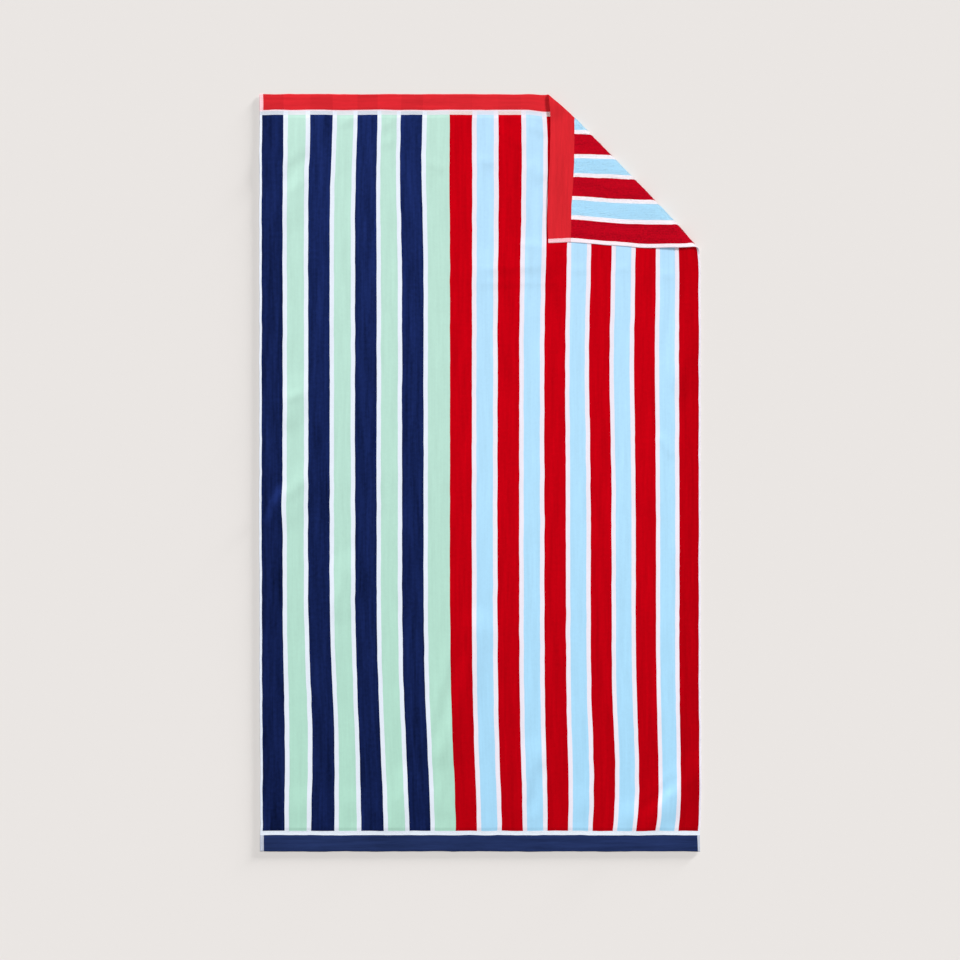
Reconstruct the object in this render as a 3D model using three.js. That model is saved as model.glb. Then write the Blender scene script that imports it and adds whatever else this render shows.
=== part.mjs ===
// Beach towel lying flat, with its upper right corner folded over onto its face.
// Millimetres, +Z up. The towel rests on z = 0, its length runs along Y and the origin is the
// middle of its underside. It is woven in one piece, so it is one closed solid: a grid of cells on
// the flat cloth, each corner of which is carried to where it lies, once for each face of the cloth.
import * as THREE from "three";

// Flat cloth
const WIDTH = 1000;
const LENGTH = 1716;
const PILE_THICKNESS = 3.4;
const HEM_THICKNESS = 2.4;
const SIDE_HEM = 6;
const END_BAND = 46; // coloured hem band and the white strip beside it
const PILE_SHOULDER = 5; // width of the step from a hem up to the pile

// Folded corner
const FOLD_TOP_LEG = 347; // from the corner to the fold, along the top edge
const FOLD_SIDE_LEG = 364; // and along the right side
const FOLD_RADIUS_TOP = 4.6; // outer radius of the bend, pressed at the top edge
const FOLD_RADIUS_SIDE = 13; // and puffed up at the right side
const FLAP_SETTLE = 90; // how far from the fold the flap comes to rest on the cloth below
const LAYER_GAP = 1.2;
const CURL_PLACE = new THREE.Vector2(160, 835); // where the flap's free edge curls up, by the fold
const CURL_REACH = 45;
const CURL_HEIGHT = 5;

// Mesh
const GRID_STEP = 31;
const BEND_STEP = 3;
const CUT_SNAP = 0.3; // a cell corner this near a cut counts as on it

// Soft shifts of the cloth in its own plane. Each has a place, a reach each way, a shift and the
// layer that it moves: the sheet below or the flap of the folded corner.
const SHIFTS = [
  { layer: "sheet", x: -180, y: -846, reachX: 210, reachY: 285, shiftX: 17, shiftY: 0 },
  { layer: "sheet", x: -370, y: -585, reachX: 91, reachY: 170, shiftX: 7, shiftY: 0 },
  { layer: "sheet", x: 100, y: -835, reachX: 130, reachY: 180, shiftX: 5, shiftY: 0 },
  { layer: "sheet", x: 318, y: -687, reachX: 136, reachY: 160, shiftX: 8, shiftY: 0 },
  { layer: "sheet", x: 410, y: -825, reachX: 130, reachY: 40, shiftX: -5, shiftY: 0 },
  { layer: "sheet", x: 150, y: 820, reachX: 36, reachY: 40, shiftX: 0, shiftY: -4 },
  { layer: "sheet", x: 158, y: 858, reachX: 34, reachY: 34, shiftX: -9.5, shiftY: 0 },
  { layer: "sheet", x: -330, y: 820, reachX: 102, reachY: 136, shiftX: 7, shiftY: 0 },
  { layer: "sheet", x: -155, y: 700, reachX: 68, reachY: 148, shiftX: -5.7, shiftY: 0 },
  { layer: "sheet", x: 136, y: 700, reachX: 102, reachY: 250, shiftX: 7.3, shiftY: 0 },
  { layer: "sheet", x: 306, y: 245, reachX: 114, reachY: 182, shiftX: -4.8, shiftY: 0 },
  { layer: "sheet", x: 505, y: 525, reachX: 40, reachY: 40, shiftX: -5, shiftY: -7 },
  { layer: "flap", x: 158, y: 858, reachX: 34, reachY: 34, shiftX: -4, shiftY: 0 },
  { layer: "flap", x: 165, y: 730, reachX: 90, reachY: 110, shiftX: 3, shiftY: 0 },
  { layer: "flap", x: 240, y: 670, reachX: 140, reachY: 110, shiftX: 3.5, shiftY: 4 },
  { layer: "flap", x: 205, y: 595, reachX: 75, reachY: 48, shiftX: 0, shiftY: 5.5 },
  { layer: "flap", x: 150, y: 515, reachX: 50, reachY: 60, shiftX: 6, shiftY: -2.5 },
  { layer: "flap", x: 400, y: 520, reachX: 150, reachY: 60, shiftX: 0, shiftY: -7 },
  { layer: "flap", x: 480, y: 525, reachX: 50, reachY: 40, shiftX: -2, shiftY: -3 },
];

// Soft ridges that the cloth lies in: the two ends of the crest, its reach to each side, its height.
const RIDGES = [
  { x1: -92, y1: -612, x2: -12, y2: -362, reach: 66, height: 4.5 },
  { x1: 363, y1: -794, x2: 493, y2: -680, reach: 60, height: 4.0 },
  { x1: -217, y1: -794, x2: -176, y2: -716, reach: 60, height: 3.5 },
  { x1: 102, y1: -755, x2: 131, y2: -648, reach: 56, height: 3.0 },
  { x1: -323, y1: -293, x2: -301, y2: -225, reach: 56, height: 2.2 },
  { x1: -440, y1: -80, x2: -403, y2: -27, reach: 56, height: 2.6 },
  { x1: -440, y1: 139, x2: -401, y2: 180, reach: 56, height: 2.6 },
  { x1: 459, y1: 223, x2: 493, y2: 352, reach: 60, height: 3.2 },
  { x1: -5, y1: 457, x2: 147, y2: 489, reach: 60, height: 3.0 },
  { x1: -450, y1: 590, x2: -395, y2: 665, reach: 56, height: 3.0 },
  { x1: -467, y1: 690, x2: -387, y2: 790, reach: 56, height: 3.5 },
];

const halfWidth = WIDTH / 2;
const halfLength = LENGTH / 2;

// The fold runs from the top edge to the right side; across it points to the corner.
const foldStart = new THREE.Vector2(halfWidth - FOLD_TOP_LEG, halfLength);
const foldLength = Math.hypot(FOLD_TOP_LEG, FOLD_SIDE_LEG);
const foldAlong = new THREE.Vector2(FOLD_TOP_LEG, -FOLD_SIDE_LEG).divideScalar(foldLength);
const foldAcross = new THREE.Vector2(FOLD_SIDE_LEG, FOLD_TOP_LEG).divideScalar(foldLength);

const clamp = THREE.MathUtils.clamp;
const smooth = (share) => THREE.MathUtils.smoothstep(share, 0, 1);

function pastFold(point) {
  return point.clone().sub(foldStart).dot(foldAcross);
}

function foldRadius(point) {
  const share = clamp(point.clone().sub(foldStart).dot(foldAlong) / foldLength, 0, 1);
  return THREE.MathUtils.lerp(FOLD_RADIUS_TOP, FOLD_RADIUS_SIDE, share * share);
}

function bendLength(radius) {
  return Math.PI * (radius - PILE_THICKNESS / 2);
}

function thickness(point) {
  const fromSide = halfWidth - Math.abs(point.x) - SIDE_HEM;
  const fromEnd = halfLength - Math.abs(point.y) - END_BAND;
  const share = clamp(Math.min(fromSide, fromEnd) / PILE_SHOULDER, 0, 1);
  return THREE.MathUtils.lerp(HEM_THICKNESS, PILE_THICKNESS, share);
}

// Height of the ridges at a place, zero where the cloth lies flat.
function ridgeHeight(x, y) {
  const place = new THREE.Vector3(x, y, 0);
  const nearest = new THREE.Vector3();
  let height = 0;
  for (const ridge of RIDGES) {
    const from = new THREE.Vector3(ridge.x1, ridge.y1, 0);
    const crest = new THREE.Line3(from, new THREE.Vector3(ridge.x2, ridge.y2, 0));
    const distance = crest.closestPointToPoint(place, true, nearest).distanceTo(place);
    const share = clamp(1 - (distance / ridge.reach) ** 2, 0, 1);
    height = Math.max(height, ridge.height * share * share);
  }
  return height;
}

function curlHeight(spot) {
  const share = clamp(1 - (spot.distanceTo(CURL_PLACE) / CURL_REACH) ** 2, 0, 1);
  return CURL_HEIGHT * share * share;
}

// Total shift at a place. flapShare is 0 on the sheet, 1 on the flap and in between on the bend.
function planShift(x, y, flapShare) {
  const total = new THREE.Vector2();
  for (const row of SHIFTS) {
    const layerShare = row.layer === "flap" ? flapShare : 1 - flapShare;
    const falloff = Math.exp(-(((x - row.x) / row.reachX) ** 2) - ((y - row.y) / row.reachY) ** 2);
    total.x += row.shiftX * falloff * layerShare;
    total.y += row.shiftY * falloff * layerShare;
  }
  return total;
}

// Where a point of the flat cloth lies, rise above the cloth's underside.
function lay(point, rise) {
  const past = Math.max(pastFold(point), 0);
  const radius = foldRadius(point);
  const turn = Math.PI * Math.min(past / bendLength(radius), 1);
  const beyond = Math.max(past - bendLength(radius), 0);
  const restingTop = PILE_THICKNESS + LAYER_GAP + thickness(point);
  const sink = (2 * radius - restingTop) * smooth(beyond / FLAP_SETTLE);
  const across = (radius - rise) * Math.sin(turn) - beyond;
  const spot = point.clone().addScaledVector(foldAcross, across - past);
  const height = radius - (radius - rise) * Math.cos(turn) - sink;
  const flapShare = turn / Math.PI;
  const lift = ridgeHeight(spot.x, spot.y) + curlHeight(spot) * flapShare;
  const shift = planShift(spot.x, spot.y, flapShare);
  return new THREE.Vector3(spot.x + shift.x, spot.y + shift.y, height + lift);
}

// Grid lines across one side of the cloth: its edge, its hem, the pile's shoulder, even steps.
function gridLines(half, hem) {
  const pile = half - hem - PILE_SHOULDER;
  const steps = Math.round((2 * pile) / GRID_STEP);
  const even = Array.from({ length: steps + 1 }, (_, i) => -pile + (2 * pile * i) / steps);
  return [-half, hem - half, ...even, half - hem, half];
}

function gridCells() {
  const columns = gridLines(halfWidth, SIDE_HEM);
  const rows = gridLines(halfLength, END_BAND);
  const cells = [];
  for (let i = 0; i + 1 < columns.length; i++) {
    for (let j = 0; j + 1 < rows.length; j++) {
      cells.push([
        new THREE.Vector2(columns[i], rows[j]),
        new THREE.Vector2(columns[i + 1], rows[j]),
        new THREE.Vector2(columns[i + 1], rows[j + 1]),
        new THREE.Vector2(columns[i], rows[j + 1]),
      ]);
    }
  }
  return cells;
}

// A cell split by the line that lies offset past the start of the bend.
function splitCell(cell, offset) {
  const sideOf = (corner) => {
    const side = pastFold(corner) - offset;
    return Math.abs(side) < CUT_SNAP ? 0 : side;
  };
  const low = [];
  const high = [];
  cell.forEach((corner, index) => {
    const next = cell[(index + 1) % cell.length];
    const here = sideOf(corner);
    const there = sideOf(next);
    if (here <= 0) low.push(corner);
    if (here >= 0) high.push(corner);
    if (here * there < 0) {
      const [from, to] = here < 0 ? [corner, next] : [next, corner];
      const share = -Math.min(here, there) / Math.abs(here - there);
      const cut = from.clone().lerp(to, share);
      low.push(cut);
      high.push(cut);
    }
  });
  return [low, high].filter((piece) => piece.length > 2);
}

// Cells that follow the bend: cut along it from where it starts to the end of its longest arc.
function clothCells() {
  let cells = gridCells();
  const longest = bendLength(FOLD_RADIUS_SIDE);
  for (let offset = 0; offset < longest + BEND_STEP; offset += BEND_STEP) {
    cells = cells.flatMap((cell) => splitCell(cell, offset));
  }
  return cells;
}

// Numbered corners of the cells and the cells' triangles, all turned the same way.
function flatTriangles(cells) {
  const numbers = new Map();
  const corners = [];
  const numberOf = (corner) => {
    const key = `${corner.x.toFixed(3)} ${corner.y.toFixed(3)}`;
    if (!numbers.has(key)) {
      numbers.set(key, corners.length);
      corners.push(corner);
    }
    return numbers.get(key);
  };
  const triangles = [];
  for (const cell of cells) {
    const ring = cell.map(numberOf);
    for (let i = 1; i + 1 < ring.length; i++) triangles.push([ring[0], ring[i], ring[i + 1]]);
  }
  return { corners, triangles };
}

// Edges that only one triangle has: the rim of the cloth.
function rimEdges(triangles) {
  const edges = new Map();
  for (const [a, b, c] of triangles) {
    for (const [from, to] of [[a, b], [b, c], [c, a]]) {
      if (!edges.delete(`${to} ${from}`)) edges.set(`${from} ${to}`, [from, to]);
    }
  }
  return [...edges.values()];
}

function towelGeometry() {
  const { corners, triangles } = flatTriangles(clothCells());
  const face = corners.map((corner) => lay(corner, thickness(corner)));
  const underside = corners.map((corner) => lay(corner, 0));
  const under = corners.length;
  const index = [];
  for (const [a, b, c] of triangles) {
    index.push(a, b, c, under + a, under + c, under + b);
  }
  for (const [a, b] of rimEdges(triangles)) {
    index.push(a, under + a, under + b, a, under + b, b);
  }
  const geometry = new THREE.BufferGeometry().setFromPoints([...face, ...underside]);
  geometry.setIndex(index);
  geometry.computeBoundingBox();
  const middle = geometry.boundingBox.getCenter(new THREE.Vector3());
  geometry.translate(-middle.x, -middle.y, 0);
  geometry.computeVertexNormals();
  return geometry;
}

function buildTowel() {
  const terry = new THREE.MeshStandardMaterial({ color: "#c00414", roughness: 0.95, metalness: 0 });
  const towel = new THREE.Mesh(towelGeometry(), terry);
  towel.name = "towel";
  const group = new THREE.Group();
  group.add(towel);
  return group;
}

export default buildTowel();
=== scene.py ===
import math

import bpy
import numpy as np
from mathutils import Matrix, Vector


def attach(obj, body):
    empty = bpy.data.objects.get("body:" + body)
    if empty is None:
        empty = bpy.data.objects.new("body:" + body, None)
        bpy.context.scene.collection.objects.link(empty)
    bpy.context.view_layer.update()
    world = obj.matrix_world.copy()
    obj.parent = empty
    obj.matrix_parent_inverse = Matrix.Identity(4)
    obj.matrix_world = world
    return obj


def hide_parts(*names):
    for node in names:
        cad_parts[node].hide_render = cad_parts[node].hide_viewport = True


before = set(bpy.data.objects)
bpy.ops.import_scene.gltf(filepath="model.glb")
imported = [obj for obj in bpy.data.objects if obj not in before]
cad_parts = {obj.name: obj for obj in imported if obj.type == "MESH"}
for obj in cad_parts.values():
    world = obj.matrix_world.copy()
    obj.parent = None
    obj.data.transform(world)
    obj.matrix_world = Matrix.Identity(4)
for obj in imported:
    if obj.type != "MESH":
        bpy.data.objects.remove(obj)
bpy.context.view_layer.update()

MM = 0.001

# Flat cloth, as in the part's source
WIDTH = 1000.0
LENGTH = 1716.0
PILE = 3.4

# Folded corner, as in the part's source
FOLD_TOP_LEG = 347.0
FOLD_SIDE_LEG = 364.0
FOLD_RADIUS_TOP = 4.6
FOLD_RADIUS_SIDE = 13.0
FLAP_SETTLE = 90.0
LAYER_GAP = 1.2
CURL_PLACE = (160.0, 835.0)
CURL_REACH = 45.0
CURL_HEIGHT = 5.0

# Hems, measured in from an edge: coloured band and white strip at the ends, turned hem at the sides
TOP_BAND = 35.8
BOTTOM_BAND = 37.2
STRIP_END = 46.8
BACK_BAND = 54.0
LEFT_HEM = 5.2
RIGHT_HEM = 4.5
BACK_HEM = 9.0
LEFT_BAND_END = 8.0
RIGHT_BAND_END = 5.4

# Relief of the cloth: heights over the underside and the widths of the steps between them
HEM_HEIGHT = 2.6
STRIP_HEIGHT = 2.4
BAND_STEP = 1.4
PILE_SHOULDER = 8.0
RIM_ROUND = 2.4
RIM_SHARE = 0.45
RIM_INSET = 0.45  # how far inside the edge the colour of the rim is taken
BACK_DRAW_IN = 0.4

# Stripes from the left: navy and mint, then red and sky, with white lines between
FIRST_STRIPE = 4.0
NAVY = 49.0
MINT = 38.2
LAST_MINT = 49.8
LEFT_LINE = 9.6
LEFT_REPEATS = 4
RED = 50.0
SKY = 37.5
RIGHT_LINE = 10.2
RIGHT_REPEATS = 5
RIGHT_GATHER = 25.4  # how far the stripes are drawn in at the right side, and less before it
GATHER_POWER = 2.8

# Mesh
COLUMN_STEP = 8.2
ROW_STEP = 7.4
BEND_STEP = 1.3
CUT_SNAP = 0.15  # a place this near a cut along the bend counts as on it
EDGE_SNAP = 0.01  # and one this near the edge of the cloth
RIM_LINES = (0.0, 0.2, 0.5, 1.0)  # shares of the rounded rim where the mesh has a line
SHOULDER_LINES = (0.0, 0.25, 0.5, 1.0)  # and of the shoulder up to the pile
BAKE_MARGIN = 0.012  # of the map for baking, as shares of its side
BAKE_RIM = 0.003

# Dyes as linear colours
DYES = {
    "white": (0.765, 0.825, 0.92),
    "rose_white": (0.826, 0.785, 0.875),
    "back_rose": (0.90, 0.785, 0.845),
    "navy": (0.0072, 0.0155, 0.080),
    "mint": (0.465, 0.715, 0.615),
    "red": (0.52, 0.0004, 0.0055),
    "sky": (0.43, 0.715, 0.93),
    "band_red": (0.625, 0.020, 0.028),
    "band_navy": (0.0185, 0.034, 0.118),
    "end_red": (0.86, 0.50, 0.54),
    "end_navy": (0.56, 0.60, 0.70),
}
# The loop side: its dyes where they differ, and a painted shade that all of them share
LOOP_DYES = {
    "red": (0.53, 0.0025, 0.015),
    "sky": (0.43, 0.695, 0.86),
    "rose_white": (0.87, 0.82, 0.86),
}
LOOP_PAINTED_SHADE = 0.96
# The top band is a little darker where dark stripes run into it
BAND_TONE = {"navy": 0.91, "mint": 1.01, "red": 0.97, "sky": 1.01, "white": 1.01, "rose_white": 1.01}
# The strip beside the top band: a painted highlight along its edge, then a pale tint of the stripe
# that runs into it
STRIP_HIGHLIGHT_WIDTH = 2.6
STRIP_DYES = {
    "edge": (0.90, 0.72, 0.78),
    "navy": (0.63, 0.67, 0.745),
    "mint": (0.725, 0.755, 0.79),
    "red": (0.815, 0.665, 0.65),
    "sky": (0.71, 0.76, 0.87),
}
# Painted light and painted shade along the length: how much each dye's red, green and blue gain or
# lose at the top end and at the bottom end
NO_PAINTED_FADE = (0.0, 0.0, 0.0)
PAINTED_LIGHT_FADES = {
    "white": ((-0.10, -0.11, -0.10), (0.08, 0.08, 0.08)),
    "rose_white": ((-0.10, -0.12, -0.12), (0.08, 0.08, 0.08)),
    "navy": ((0.25, 0.25, 0.25), (-0.05, -0.05, -0.05)),
    "mint": ((-0.04, -0.07, -0.06), (0.0, 0.08, 0.03)),
    "red": ((-0.05, -0.05, -0.05), (-0.07, -0.07, -0.07)),
    "sky": ((-0.02, -0.09, -0.09), (-0.06, 0.03, 0.06)),
}
# The outermost stripe on each side is a little darker with a painted shade, and gains no painted
# light at the top end
SIDE_SHADE_REACH = 60.0
SIDE_PAINTED_SHADE = 0.9

# Soft shifts of the cloth in its own plane, as in the part's source apart from the last three, which
# are small: the wave of the flap's lower hem and a kink in the first stripe
SHIFT_COLUMNS = ("layer", "x", "y", "reach_x", "reach_y", "shift_x", "shift_y")
SHIFTS = [
    ("sheet", -180, -846, 210, 285, 17.0, 0.0),
    ("sheet", -370, -585, 91, 170, 7.0, 0.0),
    ("sheet", 100, -835, 130, 180, 5.0, 0.0),
    ("sheet", 318, -687, 136, 160, 8.0, 0.0),
    ("sheet", 410, -825, 130, 40, -5.0, 0.0),
    ("sheet", 150, 820, 36, 40, 0.0, -4.0),
    ("sheet", 158, 858, 34, 34, -9.5, 0.0),
    ("sheet", -330, 820, 102, 136, 7.0, 0.0),
    ("sheet", -155, 700, 68, 148, -5.7, 0.0),
    ("sheet", 136, 700, 102, 250, 7.3, 0.0),
    ("sheet", 306, 245, 114, 182, -4.8, 0.0),
    ("sheet", 505, 525, 40, 40, -5.0, -7.0),
    ("flap", 158, 858, 34, 34, -4.0, 0.0),
    ("flap", 165, 730, 90, 110, 3.0, 0.0),
    ("flap", 240, 670, 140, 110, 3.5, 4.0),
    ("flap", 205, 595, 75, 48, 0.0, 5.5),
    ("flap", 150, 515, 50, 60, 6.0, -2.5),
    ("flap", 400, 520, 150, 60, 0.0, -7.0),
    ("flap", 480, 525, 50, 40, -2.0, -3.0),
    ("flap", 200, 530, 36, 36, 0.0, 2.6),
    ("flap", 382, 522, 52, 36, 0.0, -2.6),
    ("sheet", -452, -70, 22, 42, -2.6, 0.0),
]

# Soft ridges on the crests of the part's source, some of them lower, as the shading is faint there:
# the two ends of the crest, its reach, its height
RIDGE_COLUMNS = ("x1", "y1", "x2", "y2", "reach", "height")
RIDGES = [
    (-92, -612, -12, -362, 66, 4.5),
    (363, -794, 493, -680, 60, 4.0),
    (-217, -794, -176, -716, 60, 3.5),
    (102, -755, 131, -648, 56, 3.0),
    (-323, -293, -301, -225, 56, 2.2),
    (-440, -80, -403, -27, 56, 1.8),
    (-440, 139, -401, 180, 56, 2.6),
    (459, 223, 493, 352, 60, 3.2),
    (-5, 457, 147, 489, 60, 1.8),
    (-450, 590, -395, 665, 56, 2.0),
    (-467, 690, -387, 790, 56, 2.2),
]

# Finer creases, with the same columns; a height below zero is a trough. Where the cloth lies flat, a
# trough presses only the front face down, by no more than this share of the thickness.
PRESSED_SHARE = 0.7
CREASE_END = 0.2  # share of its height that a finer crease keeps at its ends
CREASES = [
    (-437, 701, -402, 740, 18, 0.8),
    (-437, 624, -404, 668, 18, 1.0),
    (-325, 788, -293, 802, 14, 1.2),
    (-222, 785, -197, 796, 12, 1.0),
    (-220, 745, -195, 752, 16, 1.2),
    (-118, 708, -78, 684, 16, 1.2),
    (-154, 515, -160, 395, 20, -1.2),
    (-436, 167, -402, 182, 16, 1.6),
    (-480, 148, -452, 160, 14, 1.0),
    (-478, 55, -452, 75, 16, 1.0),
    (-440, -60, -400, -10, 20, 1.5),
    (-482, -98, -456, -26, 14, 2.4),
    (-322, -290, -306, -215, 14, 1.2),
    (-258, -690, -253, -600, 14, 1.2),
    (-150, -760, -143, -650, 18, 1.5),
    (-205, -752, -178, -712, 18, 1.3),
    (-103, -745, -72, -640, 16, 1.2),
    (-116, -640, -32, -377, 24, -4.2),
    (104, -780, 139, -655, 24, -3.6),
    (360, -770, 442, -690, 20, -3.0),
    (415, -740, 440, -725, 18, 1.2),
    (455, -712, 490, -680, 16, 1.0),
    (-3, 712, 28, 698, 16, 1.5),
    (48, 778, 88, 735, 18, 2.0),
    (106, 792, 140, 766, 15, 1.8),
    (104, 704, 139, 662, 26, 2.2),
    (45, 524, 195, 503, 14, 1.1),
    (-5, 461, 140, 468, 12, 1.0),
    (-5, 430, 190, 431, 12, 0.9),
    (208, 462, 238, 458, 16, 1.2),
    (308, 463, 338, 463, 14, 1.0),
    (410, 452, 438, 444, 12, 1.2),
    (410, 85, 437, 36, 14, 2.4),
    (462, 228, 489, 342, 20, 1.0),
    (-440, -750, -385, -748, 48, 1.5),
    (-320, -750, -285, -752, 48, 1.6),
    (-210, -750, -70, -745, 44, 1.2),
    (205, -748, 245, -750, 46, 1.5),
    (310, -772, 350, -770, 34, 1.6),
    (408, -758, 445, -755, 40, 1.0),
]

# Places where the pile lies brushed and looks lighter with a painted sheen, and one where a stripe's
# end is darker with a painted shade, with the same columns.
# The last is a gain of tone: about that much on a navy stripe and a tenth of it on a pale one.
PAINTED_SHEEN_END = 0.5  # share of its gain that a brushed place keeps at its ends
PAINTED_SHEEN_AND_SHADE = [
    (-450, -32, -468, -72, 15, 0.95),
    (-468, -72, -484, -110, 14, 0.55),
    (-250, -765, -248, -805, 26, -0.25),
]

# Unevenness: waves in the height of the pile and in the run of the threads
NAP_COLUMNS = ("wave", "height")
NAP = [(60.0, 0.25), (24.0, 0.16)]
WANDER_COLUMNS = ("wave", "shift")
WANDER = [(36.0, 0.6), (15.0, 0.35)]
WANDER_SEED = 10
NOISE_CELLS = 128

# Sewing along the hems
STITCH_LENGTH = 3.0
STITCH_PITCH = 3.8
STITCH_RADIUS = 0.26
STITCH_RISE = 0.12
STITCH_SINK = 0.25
STITCH_TAPER = 0.5
STITCH_SHARES = (-0.5, -0.28, 0.28, 0.5)  # where its points lie along a stitch
BAND_STITCH = 3.0
SIDE_STITCH = 3.0
STITCH_SIDES = 5

# Terry loops on the back, where the folded corner shows it
LOOP_PITCH = 3.5
LOOP_SPAN = 2.6
LOOP_HEIGHT = 0.9
LOOP_FOOT = 0.3
LOOP_YARN = 0.45
LOOP_SIDES = 4
LOOP_POINTS = 5
LOOP_START = 1 / 3  # share of the bend after which the loops begin
LOOP_HEIGHTS = (0.8, 1.15)  # shares of their height that the loops vary between
LOOP_JITTER = 0.6
LOOP_TURN = 0.8
LOOP_SEED = 21
# Three shades of each loop dye. They come in streaks, from which each loop strays a little.
LOOP_SHADES = {"red": (0.70, 1.0, 1.26), "sky": (0.88, 1.0, 1.08), "rose_white": (0.88, 1.0, 1.08)}
LOOP_STREAK = (1.0, 0.06)
LOOP_STREAK_WAVE = 7.0
LOOP_STREAK_SEED = 30
LOOP_SHADE_SPREAD = 0.7
LOOP_SHADE_LIMITS = (-0.3, 0.3)

# Unevenness of the dyes: how the noise is drawn out over the cloth, its scale and its strength
EVENLY = (1.0, 1.0, 1.0)
VELOUR_NOISES = [
    ((1.0, 0.08, 1.0), 70.0, 0.9),
    ((1.0, 0.05, 1.0), 190.0, 0.8),
    (EVENLY, 130.0, 0.5),
    (EVENLY, 500.0, 0.4),
]
LOOP_NOISES = [(EVENLY, 80.0, 0.4)]
HEM_NOISES = [
    ((0.08, 1.0, 1.0), 500.0, 0.6),
    ((0.06, 1.0, 1.0), 110.0, 1.3),
]
NOISE_DETAIL = 2.0
# A dye shows this share of the unevenness, times this power of its grey
UNEVEN_SHARE = 0.11
UNEVEN_POWER = -0.6

# Fine relief in the materials: its strength and its depth in metres
VELOUR_BUMP = (0.25, 0.0006)
LOOP_BUMP = (0.6, 0.002)
HEM_BUMP = (0.3, 0.0004)
PILE_TIP_SCALE = 800.0
LOOP_CELL_SCALE = 420.0
LOOP_CELL_EDGE = 0.8
# painted light on the middle of each loop and painted shade in the gap beside it
LOOP_CELL_PAINTED_LIGHT = (0.06, -0.3)  # at the middle of a loop and in the gap beside it
RIBS = {"Scale": 300.0, "Distortion": 1.5, "Detail": 2.0, "Detail Scale": 3.0}

# Finish of the yarns
PILE_ROUGHNESS = 0.95
LOOP_ROUGHNESS = 0.97
HEM_ROUGHNESS = 0.85
SHEEN = 0.01
SHEEN_ROUGHNESS = 0.5

# Camera, from the photograph's frame
PHOTO_SIDE = 960
PIXEL = 2.2665 * MM
TOWEL_MIDDLE_PIXEL = (480.05, 472.8)
LENS = 100.0
SENSOR = 36.0

# Light on the towel: azimuth from its top end towards its right side, and elevation, in degrees
AMBIENT = 0.25
SEEN_BACKDROP = (0.83, 0.80, 0.776, 1.0)
KEY_AZIMUTH = 68.0
KEY_ELEVATION = 45.0
KEY_SPREAD = 8.0
KEY_DISTANCE = 8.0
KEY_STRENGTH = 2.40
FILL_AZIMUTH = -48.0
FILL_ELEVATION = 16.0
FILL_SPREAD = 18.0
FILL_DISTANCE = 5.4
FILL_STRENGTH = 3.30

# Light on the floor, from the upper right: a high one and a low one that draws the soft shadow
FLOOR_AZIMUTH = 45.0
HIGH_ELEVATION = 60.0
HIGH_SPREAD = 30.0
HIGH_STRENGTH = 2.75
LOW_ELEVATION = 4.0
LOW_SPREAD = 7.4
LOW_STRENGTH = 11.3
FLOOR_COLOUR = (0.655, 0.629, 0.611, 1.0)
FLOOR_ROUGHNESS = 1.0
FLOOR_HALF = 30000.0
FLOOR_DROP = 0.3

fold_start = np.array((WIDTH / 2 - FOLD_TOP_LEG, LENGTH / 2))
fold_length = math.hypot(FOLD_TOP_LEG, FOLD_SIDE_LEG)
fold_along = np.array((FOLD_TOP_LEG, -FOLD_SIDE_LEG)) / fold_length
fold_across = np.array((FOLD_SIDE_LEG, FOLD_TOP_LEG)) / fold_length


def smooth(share):
    """An eased step from 0 to 1."""
    share = np.clip(share, 0.0, 1.0)
    return share * share * (3.0 - 2.0 * share)


def soft_noise(places, wave, seed):
    """Smooth noise from -1 to 1 over the flat cloth, with bumps about one wave apart."""
    lattice = np.random.default_rng(seed).uniform(-1.0, 1.0, (NOISE_CELLS, NOISE_CELLS))
    cell, share = np.divmod(places / wave, 1.0)
    column, row = cell.astype(int).T
    across, up = smooth(share).T

    def corner(i, j):
        return lattice[(column + i) % NOISE_CELLS, (row + j) % NOISE_CELLS]

    low = corner(0, 0) * (1 - across) + corner(1, 0) * across
    high = corner(0, 1) * (1 - across) + corner(1, 1) * across
    return low * (1 - up) + high * up


# Relief of the flat cloth


def from_side(places):
    return WIDTH / 2 - np.abs(places[:, 0])


def from_end(places):
    return LENGTH / 2 - np.abs(places[:, 1])


def side_hem(places):
    return np.where(places[:, 0] < 0, LEFT_HEM, RIGHT_HEM)


def band_width(places):
    return np.where(places[:, 1] > 0, TOP_BAND, BOTTOM_BAND)


def band_end(places):
    return np.where(places[:, 0] < 0, LEFT_BAND_END, RIGHT_BAND_END)


def rim_share(places):
    """Share of its full height that the cloth has at its rounded rim."""
    run = np.clip(np.minimum(from_side(places), from_end(places)) / RIM_ROUND, 0.0, 1.0)
    return RIM_SHARE + (1.0 - RIM_SHARE) * np.sqrt(run * (2.0 - run))


def front_height(places):
    """Height of the front face over the underside: hems, white strips, pile and its uneven nap."""
    step = smooth((from_end(places) - band_width(places)) / BAND_STEP)
    hem = HEM_HEIGHT + (STRIP_HEIGHT - HEM_HEIGHT) * step
    pile_end = smooth((from_end(places) - STRIP_END) / PILE_SHOULDER)
    pile_side = smooth((from_side(places) - side_hem(places)) / PILE_SHOULDER)
    along_end = hem + (PILE - hem) * pile_end
    along_side = HEM_HEIGHT + (PILE - HEM_HEIGHT) * pile_side
    height = np.minimum(along_end, along_side) * rim_share(places)
    for seed, row in enumerate(NAP):
        nap = dict(zip(NAP_COLUMNS, row))
        height = height + nap["height"] * pile_end * pile_side * soft_noise(places, nap["wave"], seed)
    return height


def back_height(places):
    """How far the back face is drawn in from the underside: at the rim and at the hems."""
    past_band = smooth((from_end(places) - BACK_BAND) / BAND_STEP)
    past_hem = smooth((from_side(places) - BACK_HEM) / BAND_STEP)
    return BACK_DRAW_IN * (1.0 - past_band * past_hem) + (1.0 - rim_share(places))


# How the cloth lies


def past_fold(places):
    return (places - fold_start) @ fold_across


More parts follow.
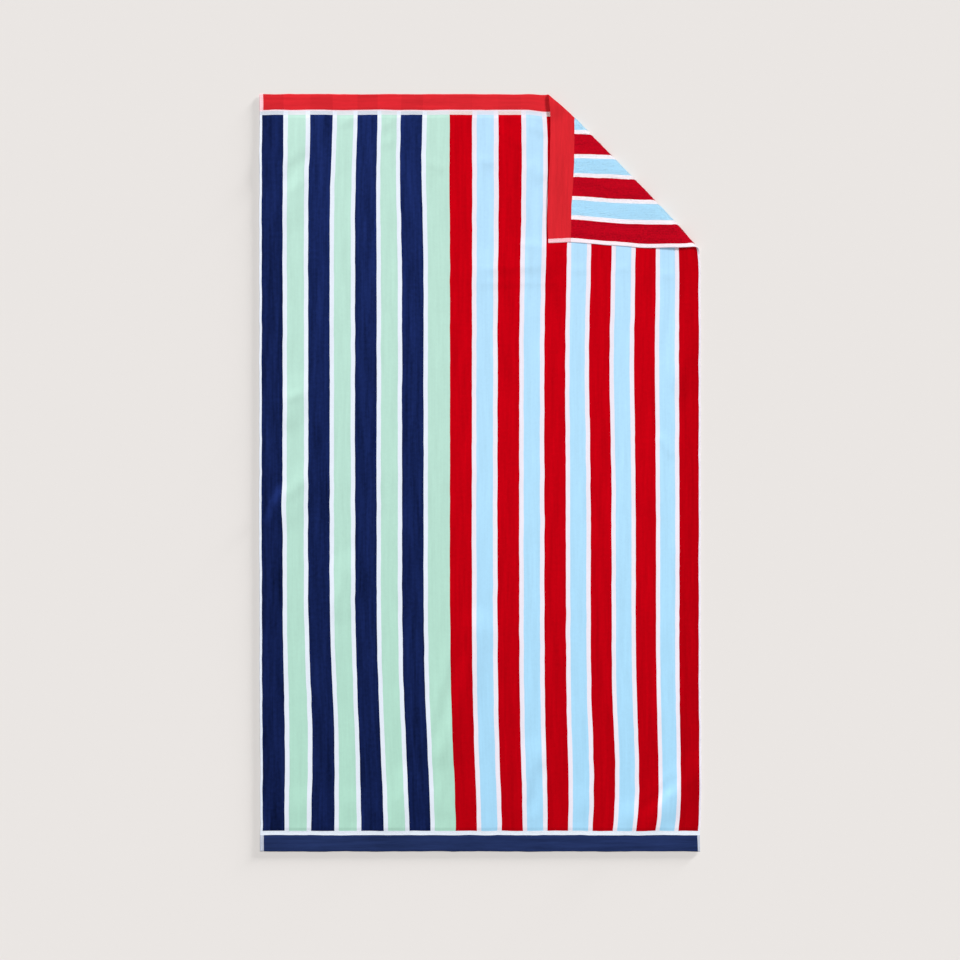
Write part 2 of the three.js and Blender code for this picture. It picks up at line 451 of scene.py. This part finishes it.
def fold_radius(places):
    share = np.clip((places - fold_start) @ fold_along / fold_length, 0.0, 1.0)
    return FOLD_RADIUS_TOP + (FOLD_RADIUS_SIDE - FOLD_RADIUS_TOP) * share**2


def bend_length(radius):
    return math.pi * (radius - PILE / 2)


def ridge_height(rows, spots, end=1.0):
    """Height of the ridges, each of which keeps the share end of its height at its two ends."""
    height = np.zeros(len(spots))
    for row in rows:
        ridge = dict(zip(RIDGE_COLUMNS, row))
        start = np.array((ridge["x1"], ridge["y1"]), float)
        run = np.array((ridge["x2"], ridge["y2"]), float) - start
        share = np.clip((spots - start) @ run / (run @ run), 0.0, 1.0)
        distance = np.linalg.norm(spots - start - share[:, None] * run, axis=1)
        rise = np.clip(1.0 - (distance / ridge["reach"]) ** 2, 0.0, 1.0) ** 2
        swell = ridge["height"] * rise * (1.0 - (1.0 - end) * (2.0 * share - 1.0) ** 4)
        height = np.where(np.abs(swell) > np.abs(height), swell, height)
    return height


def curl_height(spots):
    distance = np.linalg.norm(spots - CURL_PLACE, axis=1)
    return CURL_HEIGHT * np.clip(1.0 - (distance / CURL_REACH) ** 2, 0.0, 1.0) ** 2


def plan_shift(spots, flap_share):
    total = np.zeros_like(spots)
    for row in SHIFTS:
        shift = dict(zip(SHIFT_COLUMNS, row))
        layer_share = flap_share if shift["layer"] == "flap" else 1.0 - flap_share
        across = (spots[:, 0] - shift["x"]) / shift["reach_x"]
        up = (spots[:, 1] - shift["y"]) / shift["reach_y"]
        falloff = np.exp(-(across**2) - up**2) * layer_share
        total += falloff[:, None] * (shift["shift_x"], shift["shift_y"])
    return total


def wander(places):
    """Small waves in the threads' run, the same through the thickness of the cloth."""
    total = np.zeros_like(places)
    for seed, row in enumerate(WANDER):
        wave = dict(zip(WANDER_COLUMNS, row))
        for axis in (0, 1):
            noise = soft_noise(places, wave["wave"], WANDER_SEED + 2 * seed + axis)
            total[:, axis] += wave["shift"] * noise
    return total


def lay(places, rise):
    """Where points of the flat cloth lie, rise above its underside, in millimetres."""
    past = np.maximum(past_fold(places), 0.0)
    radius = fold_radius(places)
    turn = math.pi * np.minimum(past / bend_length(radius), 1.0)
    beyond = np.maximum(past - bend_length(radius), 0.0)
    sink = (2 * radius - 2 * PILE - LAYER_GAP) * smooth(beyond / FLAP_SETTLE)
    across = (radius - rise) * np.sin(turn) - beyond
    spots = places + (across - past)[:, None] * fold_across
    height = radius - (radius - rise) * np.cos(turn) - sink
    swell = ridge_height(RIDGES, spots) + ridge_height(CREASES, spots, CREASE_END)
    flap_share = turn / math.pi
    height += np.maximum(swell, -PRESSED_SHARE * rise) + curl_height(spots) * flap_share
    spots = spots + plan_shift(spots, flap_share) + wander(places)
    return np.column_stack((spots, height))


# Stripes and dyes


def stripe_table():
    """Each stripe's right edge, measured from the left side of the towel, and its dye."""
    repeat = [("navy", NAVY), ("white", LEFT_LINE), ("mint", MINT), ("white", LEFT_LINE)]
    left = repeat * LEFT_REPEATS
    left[-2:] = [("mint", LAST_MINT)]
    repeat = [("red", RED), ("rose_white", RIGHT_LINE), ("sky", SKY), ("rose_white", RIGHT_LINE)]
    right = repeat * RIGHT_REPEATS + [("red", RED)]
    middle = FIRST_STRIPE + sum(width for _, width in left)
    right_width = sum(width for _, width in right)
    ends = []
    edge = FIRST_STRIPE
    for _, width in left + right:
        edge += width
        past_middle = max(edge - middle, 0.0)
        ends.append(edge - RIGHT_GATHER * (past_middle / right_width) ** GATHER_POWER)
    return np.array(ends), np.array([dye for dye, _ in left + right], dtype=object)


stripe_ends, stripe_dyes = stripe_table()


def stripe_dye(places):
    index = np.searchsorted(stripe_ends, places[:, 0] + WIDTH / 2)
    return stripe_dyes[np.minimum(index, len(stripe_dyes) - 1)]


def by_end(places, top, bottom):
    return np.where(places[:, 1] > 0, top, bottom)


def front_dye(places):
    """Names of the dyes at places on the front face."""
    dye = stripe_dye(places)
    hem = from_side(places) < side_hem(places)
    dye[hem] = np.where(places[hem, 0] < 0, "white", "rose_white")
    dye[from_end(places) < STRIP_END] = "white"
    band = from_end(places) < band_width(places)
    dye[band] = by_end(places[band], "band_red", "band_navy")
    end = band & (from_side(places) < band_end(places))
    dye[end] = by_end(places[end], "end_red", "end_navy")
    return dye


def back_dye(places):
    """Names of the dyes at places on the back face and on the rim."""
    dye = stripe_dye(places)
    hem = from_side(places) < BACK_HEM
    dye[hem] = np.where(places[hem, 0] < 0, "white", "back_rose")
    band = from_end(places) < BACK_BAND
    dye[band] = by_end(places[band], "band_red", "band_navy")
    end = band & (from_side(places) < BACK_HEM)
    dye[end] = by_end(places[end], "end_red", "end_navy")
    return dye


def tint_top_strip(colours, places, stripes):
    """Gives the strip beside the top band a painted highlight along its edge and the pale tints of
    the stripes.
    """
    from_top = LENGTH / 2 - places[:, 1]
    edge = (from_top > TOP_BAND) & (from_top < TOP_BAND + STRIP_HIGHLIGHT_WIDTH)
    # painted highlight on the strip's edge under the band
    colours[edge] = STRIP_DYES["edge"]
    strip = (from_top > TOP_BAND + STRIP_HIGHLIGHT_WIDTH) & (from_top < STRIP_END)
    tint = np.array([STRIP_DYES.get(name, DYES[name]) for name in stripes])
    colours[strip] = tint[strip]


def painted_end_light(places, dye, side_shaded):
    """What each colour is multiplied by: the painted light and painted shade that it gains or loses
    towards the two ends.
    """
    painted_fades = np.array([PAINTED_LIGHT_FADES.get(name, (NO_PAINTED_FADE, NO_PAINTED_FADE)) for name in dye])
    painted_fades[side_shaded, 0] = NO_PAINTED_FADE
    up = places[:, 1:] / (LENGTH / 2)
    return 1.0 + np.where(up > 0, painted_fades[:, 0], painted_fades[:, 1]) * np.abs(up)


def front_colours(places):
    dye = front_dye(places)
    stripes = stripe_dye(places)
    colours = np.array([DYES[name] for name in dye])
    band = dye == "band_red"
    tone = np.array([BAND_TONE[name] for name in stripes])
    colours[band] *= tone[band, None]
    tint_top_strip(colours, places, stripes)
    side_shaded = (from_side(places) < SIDE_SHADE_REACH) & ((dye == "navy") | (dye == "red"))
    # painted shade on the outermost navy and red stripes
    colours[side_shaded] *= SIDE_PAINTED_SHADE
    # painted light and painted shade towards the two ends
    return colours * painted_end_light(places, dye, side_shaded)


def loop_colour(name):
    """Colour of a dye on the loop side, where the shaded gaps between the loops darken it."""
    colour = LOOP_DYES.get(name, DYES[name])
    # painted shade shared by all loop dyes
    return tuple(min(channel * LOOP_PAINTED_SHADE, 1.0) for channel in colour)


def on_back_hem(places):
    return (from_end(places) < BACK_BAND) | (from_side(places) < BACK_HEM)


def back_colours(places):
    kinds = zip(back_dye(places), on_back_hem(places))
    return np.array([DYES[name] if hem else loop_colour(name) for name, hem in kinds])


# Mesh of the cloth


def filled(breaks, step):
    """Breaks with even steps put between them, none longer than step."""
    breaks = sorted(set(np.round(breaks, 3)))
    lines = [breaks[0]]
    for low, high in zip(breaks, breaks[1:]):
        count = max(1, math.ceil((high - low) / step))
        lines += [low + (high - low) * (i + 1) / count for i in range(count)]
    return np.array(lines)


def edge_lines(hem):
    """Distances in from an edge where the mesh needs a line: rim, hem and shoulder."""
    rim = [RIM_ROUND * share for share in RIM_LINES]
    shoulder = [hem + PILE_SHOULDER * share for share in SHOULDER_LINES]
    return rim + shoulder


def grid_lines():
    left = [*edge_lines(LEFT_HEM), BACK_HEM, LEFT_BAND_END]
    right = [WIDTH - line for line in (*edge_lines(RIGHT_HEM), RIGHT_BAND_END, BACK_HEM)]
    stripes = [end for end in stripe_ends if max(left) < end < min(right)]
    columns = filled([*left, *stripes, *right], COLUMN_STEP) - WIDTH / 2
    ends = [*edge_lines(STRIP_END), BACK_BAND, BACK_BAND + BAND_STEP]
    bottom = [*ends, BOTTOM_BAND, BOTTOM_BAND + BAND_STEP / 2, BOTTOM_BAND + BAND_STEP]
    top = [*ends, TOP_BAND, TOP_BAND + BAND_STEP / 2, TOP_BAND + BAND_STEP, TOP_BAND + STRIP_HIGHLIGHT_WIDTH]
    top = [LENGTH - line for line in top]
    rows = filled([*bottom, *top], ROW_STEP) - LENGTH / 2
    return columns, rows


def split_polygon(polygon, offset):
    """A polygon of flat places cut along the line that lies offset past the start of the bend."""
    side = past_fold(np.array(polygon)) - offset
    side[np.abs(side) < CUT_SNAP] = 0.0
    low, high = [], []
    for i, here in enumerate(polygon):
        k = (i + 1) % len(polygon)
        if side[i] <= 0:
            low.append(here)
        if side[i] >= 0:
            high.append(here)
        if side[i] * side[k] < 0:
            first, last = (i, k) if side[i] < 0 else (k, i)
            share = side[first] / (side[first] - side[last])
            start, end = np.array(polygon[first]), np.array(polygon[last])
            cut = tuple(start + (end - start) * share)
            low.append(cut)
            high.append(cut)
    return [part for part in (low, high) if len(part) > 2]


def bend_parts(polygon):
    """A polygon cut into strips that follow the bend."""
    past = past_fold(np.array(polygon))
    offsets = np.arange(0.0, bend_length(FOLD_RADIUS_SIDE) + BEND_STEP, BEND_STEP)
    parts = [polygon]
    for offset in offsets[(offsets > past.min()) & (offsets < past.max())]:
        parts = [piece for part in parts for piece in split_polygon(part, offset)]
    return parts


def cloth_polygons():
    """Places on the flat cloth and the polygons between them, cut to follow the bend."""
    columns, rows = grid_lines()
    grid = np.stack(np.meshgrid(columns, rows, indexing="ij"), axis=-1).reshape(-1, 2)
    places = [tuple(place) for place in grid]
    number = {(round(x, 3), round(y, 3)): i for i, (x, y) in enumerate(places)}
    past = past_fold(grid)
    longest = bend_length(FOLD_RADIUS_SIDE) + BEND_STEP
    count = len(rows)
    polygons = []
    for i in range(len(columns) - 1):
        for j in range(count - 1):
            first = i * count + j
            ring = [first, first + count, first + count + 1, first + 1]
            if past[ring].max() <= 0.0 or past[ring].min() >= longest:
                polygons.append(ring)
                continue
            for part in bend_parts([places[k] for k in ring]):
                keys = [(round(x, 3), round(y, 3)) for x, y in part]
                for key, place in zip(keys, part):
                    if key not in number:
                        number[key] = len(places)
                        places.append(place)
                polygons.append([number[key] for key in keys])
    return np.array(places), polygons


def rim_edges(polygons):
    edges = {}
    for ring in polygons:
        for a, b in zip(ring, ring[1:] + ring[:1]):
            if edges.pop((b, a), None) is None:
                edges[(a, b)] = True
    return list(edges)


def new_object(name, points, faces):
    """A smooth mesh object from points in millimetres."""
    mesh = bpy.data.meshes.new(name)
    mesh.from_pydata((np.asarray(points) * MM).tolist(), [], faces)
    mesh.polygons.foreach_set("use_smooth", np.ones(len(faces), bool))
    mesh.update()
    made = bpy.data.objects.new(name, mesh)
    bpy.context.scene.collection.objects.link(made)
    return made


def add_attribute(mesh, name, kind, domain, field, values):
    attribute = mesh.attributes.new(name, kind, domain)
    attribute.data.foreach_set(field, np.asarray(values, np.float32).ravel())


def set_materials(mesh, materials, names):
    """Gives each face the material of its name."""
    order = list(dict.fromkeys(names))
    for name in order:
        mesh.materials.append(materials[name])
    index = {name: i for i, name in enumerate(order)}
    mesh.polygons.foreach_set("material_index", [index[name] for name in names])


def add_bake_map(mesh, places, rim):
    """Both faces of the flat cloth side by side at one scale, with the rim round the front face."""
    half = np.array((WIDTH, LENGTH)) / 2
    scale = (0.5 - 2 * BAKE_MARGIN) / WIDTH
    front = (places + half) * scale + BAKE_MARGIN
    back = front * (-1.0, 1.0) + (1.0, 0.0)
    outward = np.where(np.abs(places) > half - EDGE_SNAP, np.sign(places), 0.0)
    corners = np.zeros(len(mesh.loops), np.int32)
    mesh.loops.foreach_get("vertex_index", corners)
    spots = np.vstack((front, back))[corners]
    rim_corners = len(rim) * 4
    beyond = np.vstack((front, front + outward * BAKE_RIM))
    spots[-rim_corners:] = beyond[corners[-rim_corners:]]
    layer = mesh.uv_layers.new(name="OFBake")
    layer.uv.foreach_set("vector", spots.astype(np.float32).ravel())


def cloth_colours(middles, rim_middles):
    """Colours of the faces: the front's, the back's, then the rim's."""
    colours = np.vstack((front_colours(middles), back_colours(middles), back_colours(rim_middles)))
    return np.column_stack((colours, np.ones(len(colours))))


def cloth_material_names(middles, rim_count):
    """Names of the faces' materials, in the same order."""
    on_hem = (from_end(middles) < STRIP_END) | (from_side(middles) < side_hem(middles))
    front = np.where(on_hem, "hem", "velour")
    back = np.where(on_back_hem(middles), "hem", "loops")
    return [*front, *back] + ["hem"] * rim_count


def make_cloth(materials):
    places, polygons = cloth_polygons()
    count = len(places)
    rim = rim_edges(polygons)
    front = lay(places, front_height(places))
    back = lay(places, back_height(places))
    faces = polygons + [[count + k for k in reversed(ring)] for ring in polygons]
    faces += [[a, count + a, count + b, b] for a, b in rim]
    cloth = new_object("towel_cloth", np.vstack((front, back)), faces)
    middles = np.array([places[ring].mean(axis=0) for ring in polygons])
    inward = 1.0 - 2 * RIM_INSET / LENGTH
    rim_middles = np.array([(places[a] + places[b]) / 2 for a, b in rim]) * inward
    colours = cloth_colours(middles, rim_middles)
    add_attribute(cloth.data, "dye", "FLOAT_COLOR", "FACE", "color", colours)
    flat = np.column_stack((np.tile(places * MM, (2, 1)), np.repeat((0.0, 1.0), count)))
    add_attribute(cloth.data, "flat_place", "FLOAT_VECTOR", "POINT", "vector", flat)
    # painted sheen and painted shade, carried to the velour as an attribute
    painted_sheen_shade = np.tile(ridge_height(PAINTED_SHEEN_AND_SHADE, places, PAINTED_SHEEN_END), 2)
    add_attribute(cloth.data, "painted_sheen_shade", "FLOAT", "POINT", "value", painted_sheen_shade)
    add_bake_map(cloth.data, places, rim)
    set_materials(cloth.data, materials, cloth_material_names(middles, len(rim)))
    return cloth


# Threads laid on the cloth: stitches and terry loops


def tubes(paths, aside, radii, sides):
    """Closed tubes along paths of (x, y, rise) points, each with its own direction aside."""
    count, steps = paths.shape[:2]
    along = np.gradient(paths, axis=1)
    aside = np.broadcast_to(aside[:, None, :], paths.shape)
    upright = np.cross(along, aside)
    upright /= np.linalg.norm(upright, axis=2, keepdims=True)
    angles = np.arange(sides) * 2 * math.pi / sides
    ring = np.cos(angles)[:, None] * aside[:, :, None] + np.sin(angles)[:, None] * upright[:, :, None]
    points = paths[:, :, None] + ring * np.asarray(radii)[:, None, None]
    index = np.arange(count * steps * sides).reshape(count, steps, sides)
    turned = np.roll(index, -1, axis=2)
    walls = np.stack((index[:, :-1], turned[:, :-1], turned[:, 1:], index[:, 1:]), axis=-1)
    walls = walls.reshape(count, -1, 4).tolist()
    caps = np.stack((index[:, 0, ::-1], index[:, -1]), axis=1).tolist()
    faces = [face for wall, cap in zip(walls, caps) for face in wall + cap]
    points = points.reshape(-1, 3)
    return lay(points[:, :2], points[:, 2]), faces


def stitch_rows():
    """Middles, directions and thread of the stitches: along both end bands and both sides."""
    across = np.arange(LEFT_BAND_END, WIDTH - RIGHT_BAND_END, STITCH_PITCH) - WIDTH / 2
    up = np.arange(STITCH_PITCH, LENGTH - STITCH_PITCH, STITCH_PITCH) - LENGTH / 2
    top = LENGTH / 2 - TOP_BAND + BAND_STITCH
    bottom = BOTTOM_BAND - BAND_STITCH - LENGTH / 2
    side = WIDTH / 2 - SIDE_STITCH
    rows = [
        (np.column_stack((across, np.full_like(across, top))), (1.0, 0.0), "band_red"),
        (np.column_stack((across, np.full_like(across, bottom))), (1.0, 0.0), "band_navy"),
        (np.column_stack((np.full_like(up, -side), up)), (0.0, 1.0), "white"),
        (np.column_stack((np.full_like(up, side), up)), (0.0, 1.0), "white"),
    ]
    middles = np.vstack([row[0] for row in rows])
    along = np.vstack([np.tile(row[1], (len(row[0]), 1)) for row in rows])
    threads = [row[2] for row in rows for _ in row[0]]
    return middles, along, threads


def make_stitching(materials):
    """Lockstitch rows that show on both faces of the hems."""
    middles, along, threads = stitch_rows()
    shares = np.array(STITCH_SHARES)
    lifts = np.array((-STITCH_SINK, STITCH_RISE, STITCH_RISE, -STITCH_SINK))
    radii = STITCH_RADIUS * np.array((STITCH_TAPER, 1.0, 1.0, STITCH_TAPER))
    spots = middles[:, None] + (shares * STITCH_LENGTH)[:, None] * along[:, None]
    paths = []
    for height, outward in ((front_height, 1.0), (back_height, -1.0)):
        rise = height(middles)[:, None] + outward * lifts
        paths.append(np.concatenate((spots, rise[..., None]), axis=-1))
    aside = np.column_stack((-along[:, 1], along[:, 0], np.zeros(len(along))))
    points, faces = tubes(np.vstack(paths), np.tile(aside, (2, 1)), radii, STITCH_SIDES)
    stitching = new_object("hem_stitching", points, faces)
    faces_each = len(faces) // (2 * len(middles))
    names = [name for name in threads * 2 for _ in range(faces_each)]
    set_materials(stitching.data, materials, names)
    return stitching


def loop_feet(rng):
    """Middles of the loops: a jittered grid over the turned corner's back, clear of its hems."""
    across = np.arange(WIDTH / 2 - FOLD_TOP_LEG, WIDTH / 2 - BACK_HEM, LOOP_PITCH)
    up = np.arange(LENGTH / 2 - FOLD_SIDE_LEG, LENGTH / 2 - BACK_BAND, LOOP_PITCH)
    grid = np.stack(np.meshgrid(across, up, indexing="ij"), axis=-1).reshape(-1, 2)
    grid += rng.uniform(-LOOP_JITTER, LOOP_JITTER, grid.shape)
    clear = LOOP_SPAN / 2
    on_pile = (from_side(grid) > BACK_HEM + clear) & (from_end(grid) > BACK_BAND + clear)
    return grid[on_pile & (past_fold(grid) > bend_length(fold_radius(grid)) * LOOP_START)]


def loop_name(dye, shade):
    return f"loop_{dye}_{shade}"


def make_loops(materials):
    """Terry loops that stand on the back of the turned corner."""
    rng = np.random.default_rng(LOOP_SEED)
    feet = loop_feet(rng)
    turn = math.pi / 2 + rng.uniform(-LOOP_TURN, LOOP_TURN, len(feet))
    height = LOOP_HEIGHT * rng.uniform(*LOOP_HEIGHTS, len(feet))
    streak = soft_noise(feet * LOOP_STREAK, LOOP_STREAK_WAVE, LOOP_STREAK_SEED)
    mixed = streak + rng.uniform(-LOOP_SHADE_SPREAD, LOOP_SHADE_SPREAD, len(feet))
    shade = np.digitize(mixed, LOOP_SHADE_LIMITS)
    arch = np.linspace(0.0, math.pi, LOOP_POINTS)
    along = np.column_stack((np.cos(turn), np.sin(turn)))
    spots = feet[:, None] - (np.cos(arch) * LOOP_SPAN / 2)[:, None] * along[:, None]
    rise = LOOP_FOOT - (height + LOOP_FOOT)[:, None] * np.sin(arch)
    paths = np.concatenate((spots, rise[..., None]), axis=-1)
    aside = np.column_stack((-along[:, 1], along[:, 0], np.zeros(len(feet))))
    points, faces = tubes(paths, aside, np.full(LOOP_POINTS, LOOP_YARN), LOOP_SIDES)
    loops = new_object("corner_loops", points, faces)
    faces_each = len(faces) // len(feet)
    kinds = [loop_name(name, i) for name, i in zip(stripe_dye(feet), shade)]
    set_materials(loops.data, materials, [kind for kind in kinds for _ in range(faces_each)])
    return loops


# Materials


class Nodes:
    """A material's node tree, with one short call for each kind of node."""

    def __init__(self, name):
        self.material = bpy.data.materials.new(name)
        self.material.use_nodes = True
        self.tree = self.material.node_tree
        self.shader = self.tree.nodes["Principled BSDF"]

    def add(self, kind, inputs=None, **settings):
        node = self.tree.nodes.new(kind)
        for key, value in settings.items():
            setattr(node, key, value)
        for key, value in (inputs or {}).items():
            self.feed(node.inputs[key], value)
        return node

    def feed(self, socket, value):
        if isinstance(value, bpy.types.NodeSocket):
            self.tree.links.new(value, socket)
        else:
            socket.default_value = value

    def attribute(self, name, output):
        return self.add("ShaderNodeAttribute", attribute_name=name).outputs[output]

    def flat_place(self):
        return self.attribute("flat_place", "Vector")

    def math(self, operation, a, b):
        return self.add("ShaderNodeMath", {0: a, 1: b}, operation=operation).outputs[0]

    def noise(self, vector, scale):
        inputs = {"Vector": vector, "Scale": scale, "Detail": NOISE_DETAIL}
        return self.add("ShaderNodeTexNoise", inputs).outputs["Fac"]

    def uneven(self, vector, rows, start):
        """What it starts from, with a noise about zero added for each row."""
        total = start
        for drawn_out, scale, strength in rows:
            inputs = {"Vector": vector, "Scale": drawn_out}
            place = self.add("ShaderNodeMapping", inputs).outputs[0]
            swing = self.math("SUBTRACT", self.noise(place, scale), 0.5)
            total = self.math("ADD", total, self.math("MULTIPLY", swing, strength))
        return total

    def ranged(self, value, high, to_low, to_high):
        """A value from zero to high, carried to the range from to_low to to_high."""
        inputs = {"Value": value, "From Max": high, "To Min": to_low, "To Max": to_high}
        return self.add("ShaderNodeMapRange", inputs).outputs[0]

    def dyed(self, unevenness):
        """The dye, made lighter and darker by unevenness, which shows more on dark dyes."""
        dye = self.attribute("dye", "Color")
        grey = self.add("ShaderNodeRGBToBW", {"Color": dye}).outputs[0]
        amount = self.math("MULTIPLY", self.math("POWER", grey, UNEVEN_POWER), UNEVEN_SHARE)
        shade = self.math("ADD", self.math("MULTIPLY", unevenness, amount), 1.0)
        inputs = {"Vector": dye, "Scale": shade}
        return self.add("ShaderNodeVectorMath", inputs, operation="SCALE").outputs[0]

    def bump(self, height, strength, distance):
        inputs = {"Height": height, "Strength": strength, "Distance": distance}
        return self.add("ShaderNodeBump", inputs).outputs[0]

    def finish(self, colour, roughness, normal=None, sheen=SHEEN):
        self.feed(self.shader.inputs["Base Color"], colour)
        if normal is not None:
            self.feed(self.shader.inputs["Normal"], normal)
        self.shader.inputs["Roughness"].default_value = roughness
        self.shader.inputs["Sheen Weight"].default_value = sheen
        self.shader.inputs["Sheen Roughness"].default_value = SHEEN_ROUGHNESS
        self.shader.inputs["Specular IOR Level"].default_value = 0.0
        return self.material


def velour_material():
    """Sheared pile: a painted sheen and a painted shade at brushed places, long streaks along the
    warp, soft mottling and fine pile tips.
    """
    nodes = Nodes("velour")
    flat = nodes.flat_place()
    unevenness = nodes.uneven(flat, VELOUR_NOISES, nodes.attribute("painted_sheen_shade", "Fac"))
    normal = nodes.bump(nodes.noise(flat, PILE_TIP_SCALE), *VELOUR_BUMP)
    return nodes.finish(nodes.dyed(unevenness), PILE_ROUGHNESS, normal)


def loops_material():
    """Ground of the loop side: round bumps, with painted light on their middles and painted shade in
    the gaps between them.
    """
    nodes = Nodes("terry_loops")
    flat = nodes.flat_place()
    inputs = {"Vector": flat, "Scale": LOOP_CELL_SCALE}
    cells = nodes.add("ShaderNodeTexVoronoi", inputs).outputs["Distance"]
    loop = nodes.ranged(cells, LOOP_CELL_EDGE, *LOOP_CELL_PAINTED_LIGHT)
    unevenness = nodes.uneven(flat, LOOP_NOISES, loop)
    return nodes.finish(nodes.dyed(unevenness), LOOP_ROUGHNESS, nodes.bump(loop, *LOOP_BUMP))


def hem_material():
    """Flat weave: fine ribs along the hem, a faint slub and broad changes of tone."""
    nodes = Nodes("hem_weave")
    flat = nodes.flat_place()
    wave = {"Vector": flat, **RIBS}
    ribs = nodes.add("ShaderNodeTexWave", wave, bands_direction="Y").outputs["Fac"]
    unevenness = nodes.uneven(flat, HEM_NOISES, 0.0)
    return nodes.finish(nodes.dyed(unevenness), HEM_ROUGHNESS, nodes.bump(ribs, *HEM_BUMP))


def yarn_material(name, colour):
    """Cotton yarn of one dye."""
    return Nodes(name).finish((*colour, 1.0), PILE_ROUGHNESS)


def cloth_materials():
    return {"velour": velour_material(), "loops": loops_material(), "hem": hem_material()}


def thread_materials():
    names = ("white", "band_red", "band_navy")
    return {name: yarn_material(f"thread_{name}", DYES[name]) for name in names}


def loop_materials():
    made = {}
    for dye, shades in LOOP_SHADES.items():
        for i, shade in enumerate(shades):
            name = loop_name(dye, i)
            colour = [min(channel * shade, 1.0) for channel in loop_colour(dye)]
            made[name] = yarn_material(name, colour)
    return made


# Floor, light and camera


def make_floor():
    square = ((-1, -1), (1, -1), (1, 1), (-1, 1))
    corners = [(x * FLOOR_HALF, y * FLOOR_HALF, -FLOOR_DROP) for x, y in square]
    floor = new_object("floor", corners, [(0, 1, 2, 3)])
    material = Nodes("pale_floor").finish(FLOOR_COLOUR, FLOOR_ROUGHNESS, sheen=0.0)
    floor.data.materials.append(material)
    return floor


def make_world():
    """Even light from all round, with a pale backdrop where the camera sees past the floor."""
    world = bpy.data.worlds.new("studio")
    world.use_nodes = True
    tree = world.node_tree
    ambient = tree.nodes["Background"]
    ambient.inputs["Color"].default_value = (1.0, 1.0, 1.0, 1.0)
    ambient.inputs["Strength"].default_value = AMBIENT
    seen = tree.nodes.new("ShaderNodeBackground")
    seen.inputs["Color"].default_value = SEEN_BACKDROP
    mix = tree.nodes.new("ShaderNodeMixShader")
    path = tree.nodes.new("ShaderNodeLightPath")
    tree.links.new(path.outputs["Is Camera Ray"], mix.inputs[0])
    tree.links.new(ambient.outputs[0], mix.inputs[1])
    tree.links.new(seen.outputs[0], mix.inputs[2])
    tree.links.new(mix.outputs[0], tree.nodes["World Output"].inputs["Surface"])
    bpy.context.scene.world = world


def light_direction(azimuth, elevation):
    across, up = math.radians(azimuth), math.radians(elevation)
    return Vector((math.sin(across) * math.cos(up), math.cos(across) * math.cos(up), math.sin(up)))


def add_light(data, direction, receivers):
    """A light from one direction that falls on the receivers alone."""
    light = bpy.data.objects.new(data.name, data)
    light.rotation_euler = direction.to_track_quat("Z", "Y").to_euler()
    bpy.context.scene.collection.objects.link(light)
    lit = bpy.data.collections.new(f"{data.name}_receivers")
    for receiver in receivers:
        lit.objects.link(receiver)
    light.light_linking.receiver_collection = lit
    return light


def add_sun(name, strength, spread, direction, receivers):
    data = bpy.data.lights.new(name, "SUN")
    data.energy = strength
    data.angle = math.radians(spread)
    return add_light(data, direction, receivers)


def add_panel(name, strength, spread, distance, direction, receivers):
    """A square light that faces the towel and fades with distance across it."""
    data = bpy.data.lights.new(name, "AREA")
    data.energy = strength * math.pi * distance**2
    data.size = 2 * distance * math.tan(math.radians(spread) / 2)
    panel = add_light(data, direction, receivers)
    panel.location = direction * distance
    panel.visible_camera = False
    return panel


def make_lights(pieces, floor):
    """A key from the upper right, a low fill from the upper left that casts no shadow, and the
    lights that only the floor gets."""
    make_world()
    key = light_direction(KEY_AZIMUTH, KEY_ELEVATION)
    add_panel("key", KEY_STRENGTH, KEY_SPREAD, KEY_DISTANCE, key, pieces)
    fill = light_direction(FILL_AZIMUTH, FILL_ELEVATION)
    panel = add_panel("fill", FILL_STRENGTH, FILL_SPREAD, FILL_DISTANCE, fill, pieces)
    panel.data.use_shadow = False
    high = light_direction(FLOOR_AZIMUTH, HIGH_ELEVATION)
    add_sun("floor_high", HIGH_STRENGTH, HIGH_SPREAD, high, [floor])
    low = light_direction(FLOOR_AZIMUTH, LOW_ELEVATION)
    add_sun("floor_low", LOW_STRENGTH, LOW_SPREAD, low, [floor])


def make_camera():
    data = bpy.data.cameras.new("camera")
    data.lens = LENS
    data.sensor_width = SENSOR
    camera = bpy.data.objects.new("camera", data)
    middle = PHOTO_SIDE / 2
    right = (middle - TOWEL_MIDDLE_PIXEL[0]) * PIXEL
    up = (TOWEL_MIDDLE_PIXEL[1] - middle) * PIXEL
    camera.location = (right, up, PHOTO_SIDE * PIXEL * LENS / SENSOR)
    bpy.context.scene.collection.objects.link(camera)
    bpy.context.scene.camera = camera


bpy.context.scene.view_settings.view_transform = "Standard"
make_camera()
cloth = make_cloth(cloth_materials())
stitching = make_stitching(thread_materials())
loops = make_loops(loop_materials())
floor = make_floor()
make_lights([cloth, stitching, loops], floor)

for piece in (cloth, stitching, loops):
    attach(piece, "root")
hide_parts("towel")
